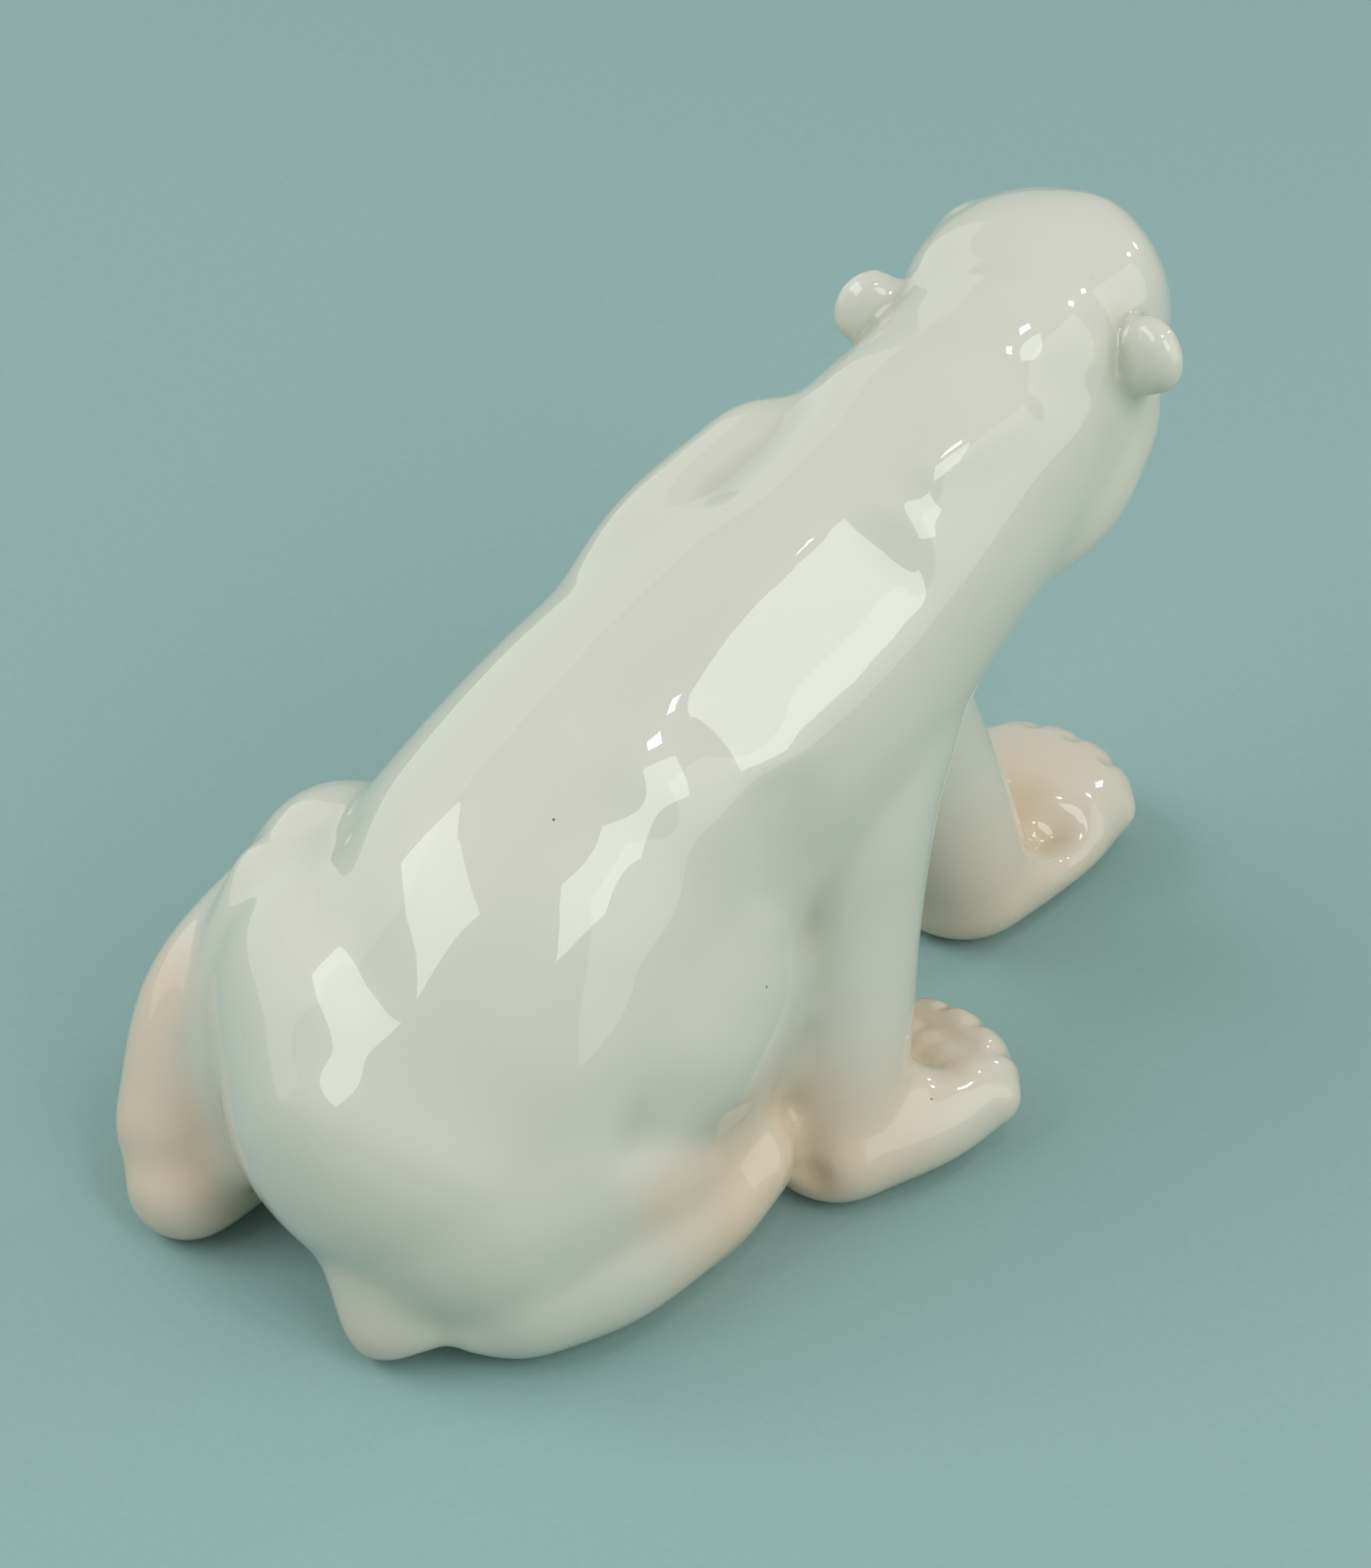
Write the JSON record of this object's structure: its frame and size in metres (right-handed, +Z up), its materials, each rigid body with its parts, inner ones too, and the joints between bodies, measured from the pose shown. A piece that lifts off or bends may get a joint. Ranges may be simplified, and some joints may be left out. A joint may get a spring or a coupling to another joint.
{
  "type": "animal figurine",
  "caption": "Glazed porcelain figurine of a polar bear sitting on its haunches, head turned to its left, forelegs reaching forward; stands on flat soles.",
  "frame": {"origin": "middle of the figurine's box at ground level, on the plane of the soles", "axes": "+Z up; -Y is the way the bear's body faces, so +Y is towards its tail; +X is the bear's own left"},
  "size_m": [0.0898, 0.1668, 0.1188],
  "materials": {
    "white_glaze": "clear glossy glaze over white porcelain, a warm, slightly green grey white",
    "blush_glaze": "the same clear glossy glaze over a pinkish cream colour sprayed softly on paws and legs"
  },
  "bodies": {
    "root": {"trunk_and_haunches": "white_glaze", "head_and_neck": "white_glaze", "left_ear": "white_glaze", "right_ear": "white_glaze", "tail": "blush_glaze", "left_foreleg": "blush_glaze", "right_foreleg": "blush_glaze", "left_hind_paw": "blush_glaze", "right_hind_paw": "blush_glaze"}
  },
  "joints": []
}
